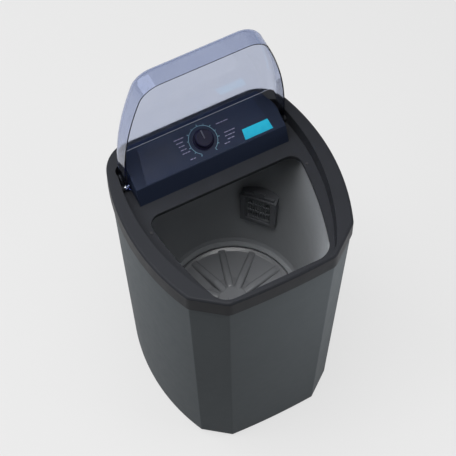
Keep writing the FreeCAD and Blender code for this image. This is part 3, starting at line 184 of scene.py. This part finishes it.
def tab_print():
    """Turquoise print, deeper towards its front edge."""
    f = Finish("tab_turquoise", 0.36, specular=0.06)
    rise = f.spread(f.axis("Y"), 0.118, 0.148, 0, 1)
    base = f.mix(rise, (0.006, 0.235, 0.35), (0.012, 0.33, 0.46))
    cloud = f.noise(90, 3)
    f.colour(f.mix(f.spread(cloud, 0.4, 0.75, 0, 0.25), base, (0.03, 0.35, 0.46)))
    f.rough(f.spread(cloud, 0.3, 0.7, 0.26, 0.40))
    return f.bump(f.noise(1300, 2), 0.05, 0.0002).material


def ink(name, colour):
    """Screen-printed ink, a little uneven."""
    f = Finish(name, 0.45, specular=0.3)
    patch = f.noise(400, 3)
    f.colour(f.mix(f.spread(patch, 0.35, 0.7, 0, 1), shade(colour, 0.8), colour))
    f.rough(f.spread(patch, 0.3, 0.7, 0.4, 0.55))
    return f.bump(patch, 0.05, 0.0001).material


CHARCOAL = (0.070, 0.079, 0.086)
finishes = {
    "cabinet": moulded("cabinet_plastic", CHARCOAL, 0.52, specular=0.035),
    "deck": moulded("deck_plastic", (0.0165, 0.0175, 0.0205), 0.42, specular=0.06),
    "console": moulded("console_plastic", (0.011, 0.015, 0.028), 0.50, specular=0.04),
    "knob": moulded("knob_plastic", (0.008, 0.008, 0.020), 0.38, specular=0.06),
    "pointer": moulded("pointer_grey", (0.045, 0.050, 0.075), 0.4),
    "tub": moulded("tub_plastic", (0.245, 0.256, 0.268), 0.34, scuffs=0.10, specular=0.35),
    "pulsator": moulded("pulsator_plastic", (0.150, 0.155, 0.164), 0.24, specular=0.6),
    "filter": moulded("filter_plastic", (0.10, 0.105, 0.115), 0.42),
    "pale": moulded("pale_plastic", (0.55, 0.55, 0.52), 0.45),
    "black": moulded("black_plastic", (0.020, 0.020, 0.022), 0.5),
    "steel": metal("zinc_steel", (0.56, 0.57, 0.59), 0.32),
    "ground": metal("ground_steel", (0.62, 0.63, 0.64), 0.24),
    "sheet": metal("galvanised_sheet", (0.46, 0.48, 0.50), 0.42, (40, 6, 40), 0.2),
    "alloy": metal("cast_alloy", (0.55, 0.56, 0.57), 0.46, (300, 300, 300), 0.1),
    "bronze": metal("sintered_bronze", (0.48, 0.32, 0.16), 0.40, (400, 400, 400)),
    "rubber": rubber("black_rubber", (0.018, 0.018, 0.019)),
    "grey_rubber": rubber("grey_rubber", (0.09, 0.09, 0.095)),
    "wire": moulded("wire_covering", (0.10, 0.10, 0.11), 0.5),
    "mesh": moulded("filter_net", (0.16, 0.17, 0.18), 0.6),
    "lid": clear_lid(),
    "film": printed_film(),
    "tab": tab_print(),
}

WEARS = {
    "cabinet_shell": "cabinet", "base_ring": "cabinet", "rear_tray": "cabinet", "rear_wall": "cabinet",
    "feet": "rubber", "foot_screws": "steel", "top_rim": "deck", "top_deck": "deck", "tub_base": "tub",
    "tub_wall": "tub", "hinge_pins": "ground", "lid_bumpers": "rubber", "lid_stops": "deck",
    "lid_shell": "lid",
    "console_housing": "console", "panel_film": "film", "panel_tab": "tab", "timer_case": "pale",
    "timer_screws": "steel", "knob": "knob", "knob_pointer": "pointer", "timer_shaft": "pale",
    "tub": "tub", "tub_screws": "steel", "bearing_housing": "alloy", "lower_bush": "bronze",
    "upper_bush": "bronze", "shaft_seal": "rubber", "housing_screws": "steel",
    "pulsator": "pulsator", "pulsator_nut": "steel", "pulsator_cap": "pulsator",
    "drive_shaft": "ground", "drive_pulley": "alloy", "pulley_nut": "steel",
    "motor_pulley": "alloy", "drive_belt": "rubber", "motor_bracket": "sheet",
    "bracket_posts": "sheet", "bracket_bolts": "steel", "motor_case": "sheet",
    "motor_bolts": "steel", "motor_bush_lower": "bronze", "motor_bush_upper": "bronze",
    "rotor_core": "sheet", "motor_shaft": "ground", "cooling_fan": "pale", "capacitor": "black",
    "capacitor_clip": "steel", "tub_drain": "black", "drain_hose": "grey_rubber",
    "hose_clamps": "steel", "rear_cover": "cabinet", "rear_cover_screws": "steel",
    "drain_outlet": "black", "cord_gland": "rubber", "wiring_loom": "wire",
    "filter_pocket": "filter", "filter_frame": "filter", "filter_mesh": "mesh",
}


for name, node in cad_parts.items():
    node.data.materials.clear()
    node.data.materials.append(finishes[WEARS[name]])


# panel print
KNOB_PLACE = (0, 0.162, 0.8820)
PANEL_SLOPE = 18.8
PANEL = Matrix.Translation(KNOB_PLACE) @ Matrix.Rotation(math.radians(PANEL_SLOPE), 4, "X")
INK_LOW, INK_HIGH = 0.00060, 0.00066
DIAL_END = 150
DIAL_TICKS = 13
RING_BAND = (35.6, 36.6)
TICK_FOOT, TICK_LONG, TICK_SHORT, TICK_WIDE = 37.4, 41.6, 39.8, 1.5
# each row of dashes: place up the slope, place across, lengths
LEGEND_ROWS = (
    (25, -68, (9, 6, 8)),
    (15.5, -66, (7, 10)),
    (6, -63, (5, 9)),
    (-3.5, -62, (8, 6)),
    (-13, -62, (6, 5, 7)),
    (-33, -50, (7, 6)),
    (23, 46, (10, 7, 12)),
    (-4.5, 55, (12, 5, 9)),
    (-13.5, 53, (7, 11, 6)),
    (-22.5, 56, (9, 8)),
    (-30.5, 44, (8, 5)),
)


class Print:
    """Thin printed marks on the panel, drawn in millimetres across and up the slope."""

    def __init__(self):
        self.verts = []
        self.faces = []

    def patch(self, outline):
        """A closed outline raised by the ink's thickness."""
        first = len(self.verts)
        n = len(outline)
        for level in (INK_LOW, INK_HIGH):
            self.verts += [PANEL @ Vector((x / 1000, y / 1000, level)) for x, y in outline]
        self.faces.append(tuple(first + n + k for k in range(n)))
        self.faces.append(tuple(first + k for k in reversed(range(n))))
        for k in range(n):
            m = (k + 1) % n
            self.faces.append((first + k, first + m, first + n + m, first + n + k))

    def arc(self, inner, outer, start, end, steps):
        """A band of a circle about the knob, with angles clockwise from the rear."""
        for k in range(steps):
            a = math.radians(start + (end - start) * k / steps)
            b = math.radians(start + (end - start) * (k + 1) / steps)
            self.patch([
                (outer * math.sin(a), outer * math.cos(a)),
                (inner * math.sin(a), inner * math.cos(a)),
                (inner * math.sin(b), inner * math.cos(b)),
                (outer * math.sin(b), outer * math.cos(b)),
            ])

    def tick(self, angle, inner, outer, wide):
        """A short line that points away from the knob."""
        a = math.radians(angle)
        along = (math.sin(a), math.cos(a))
        side = (math.cos(a) * wide / 2, -math.sin(a) * wide / 2)
        near = (along[0] * inner, along[1] * inner)
        far = (along[0] * outer, along[1] * outer)
        self.patch([
            (near[0] - side[0], near[1] - side[1]),
            (near[0] + side[0], near[1] + side[1]),
            (far[0] + side[0], far[1] + side[1]),
            (far[0] - side[0], far[1] - side[1]),
        ])

    def dash(self, x0, x1, y, tall):
        """A dash with rounded ends."""
        r = tall / 2
        outline = []
        for k in range(9):
            a = math.radians(-90 + 180 * k / 8)
            outline.append((x1 - r + r * math.cos(a), y + r * math.sin(a)))
        for k in range(9):
            a = math.radians(90 + 180 * k / 8)
            outline.append((x0 + r + r * math.cos(a), y + r * math.sin(a)))
        self.patch(outline)

    def row(self, x, y, lengths, tall=1.7, gap=1.3):
        """A row of dashes standing for a legend."""
        for length in lengths:
            self.dash(x, x + length, y, tall)
            x += length + gap

    def made(self, name, material):
        """The marks as one piece that rides the cabinet."""
        mesh = bpy.data.meshes.new(name)
        mesh.from_pydata(self.verts, [], self.faces)
        mesh.update()
        mesh.materials.append(material)
        piece = bpy.data.objects.new(name, mesh)
        bpy.context.scene.collection.objects.link(piece)
        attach(piece, "cabinet")


ring = Print()
ring.arc(*RING_BAND, -DIAL_END, DIAL_END, 100)
for k in range(DIAL_TICKS):
    angle = -DIAL_END + 2 * DIAL_END * k / (DIAL_TICKS - 1)
    ring.tick(angle, TICK_FOOT, TICK_SHORT if k % 2 else TICK_LONG, TICK_WIDE)
ring.made("dial_ring", ink("ink_light_blue", (0.12, 0.26, 0.34)))

legends = Print()
for y, x, lengths in LEGEND_ROWS:
    legends.row(x, y, lengths)
legends.made("panel_legends", ink("ink_lavender", (0.20, 0.19, 0.30)))


# floor, light and camera
PALE = 0.831
FLOOR_WIDE = 80
FLOOR_GREY = 0.27
FLOOR_GLOW = 1.16
FLOOR_GLOW_SHARE = 0.7
WORLD_LEVEL = 0.12
CAMERA_PLACE = (-1.0201, -1.9469, 4.6803)
CAMERA_RIGHT = (0.8887, -0.4585, 0.0)
CAMERA_UP = (0.4014, 0.7780, 0.4834)
CAMERA_LENS = 144.92


def studio_paper():
    """Grey paper that holds the shadow, with a pale glow for what sees, mirrors or looks through to it."""
    paper = bpy.data.materials.new("studio_paper")
    paper.use_nodes = True
    tree = paper.node_tree
    tree.nodes.clear()

    def maths(how, a, b):
        node = tree.nodes.new("ShaderNodeMath")
        node.operation = how
        tree.links.new(a, node.inputs[0])
        if isinstance(b, float):
            node.inputs[1].default_value = b
        else:
            tree.links.new(b, node.inputs[1])
        return node.outputs[0]

    lit = tree.nodes.new("ShaderNodeBsdfDiffuse")
    lit.inputs["Color"].default_value = (FLOOR_GREY, FLOOR_GREY, FLOOR_GREY, 1)
    glow = tree.nodes.new("ShaderNodeEmission")
    glow.inputs["Color"].default_value = (PALE, PALE, PALE, 1)
    glow.inputs["Strength"].default_value = FLOOR_GLOW
    ray = tree.nodes.new("ShaderNodeLightPath").outputs
    indirect = maths("MAXIMUM", ray["Is Glossy Ray"], ray["Is Transmission Ray"])
    seen = maths("MAXIMUM", ray["Is Camera Ray"], indirect)
    blend = tree.nodes.new("ShaderNodeMixShader")
    tree.links.new(maths("MULTIPLY", seen, FLOOR_GLOW_SHARE), blend.inputs["Fac"])
    tree.links.new(lit.outputs[0], blend.inputs[1])
    tree.links.new(glow.outputs[0], blend.inputs[2])
    out = tree.nodes.new("ShaderNodeOutputMaterial")
    tree.links.new(blend.outputs[0], out.inputs["Surface"])
    return paper


bpy.ops.mesh.primitive_plane_add(size=FLOOR_WIDE, location=(0, 0, 0))
floor = bpy.context.object
floor.name = "studio_floor"
floor.data.materials.append(studio_paper())

world = bpy.data.worlds.new("studio")
bpy.context.scene.world = world
world.use_nodes = True
sky = world.node_tree.nodes["Background"]
sky.inputs["Color"].default_value = (PALE, PALE, PALE, 1)
sky.inputs["Strength"].default_value = WORLD_LEVEL


def soft_box(name, place, aim, wide, level, mirrored=True):
    """A square soft box whose light falls on what it is aimed at with a given share of plain light."""
    lamp = bpy.data.lights.new(name, "AREA")
    lamp.shape = "RECTANGLE"
    lamp.size = wide
    lamp.size_y = wide
    away = Vector(place) - Vector(aim)
    lamp.energy = math.pi ** 2 * away.length_squared * level
    piece = bpy.data.objects.new(name, lamp)
    piece.matrix_world = Matrix.Translation(place) @ away.to_track_quat("Z", "Y").to_matrix().to_4x4()
    piece.visible_glossy = mirrored
    bpy.context.scene.collection.objects.link(piece)


soft_box("left_box", (-1.9, 1.05, 2.8), (-0.2, 0, 0.8), 2.8, 1.75, mirrored=False)
soft_box("right_box", (0.70, -0.75, 0.8), (0.15, -0.25, 0.55), 0.5, 1.2, mirrored=False)
soft_box("back_box", (1.0, 2.3, 5.8), (0, 0.2, 1.1), 3.5, 0.045)
soft_box("top_box", (-0.5, -0.2, 5.8), (0, 0, 0.6), 3.0, 1.2)

camera = bpy.data.cameras.new("photo_camera")
camera.lens = CAMERA_LENS
camera.sensor_width = 36.0
camera.clip_start = 0.1
camera.clip_end = 200.0
eye = bpy.data.objects.new("photo_camera", camera)
bpy.context.scene.collection.objects.link(eye)
right = Vector(CAMERA_RIGHT)
up = Vector(CAMERA_UP)
back = right.cross(up).normalized()
turn = Matrix((right.normalized(), up.normalized(), back)).transposed().to_4x4()
eye.matrix_world = Matrix.Translation(CAMERA_PLACE) @ turn
bpy.context.scene.camera = eye
bpy.context.scene.view_settings.view_transform = "Standard"

bpy.context.view_layer.update()
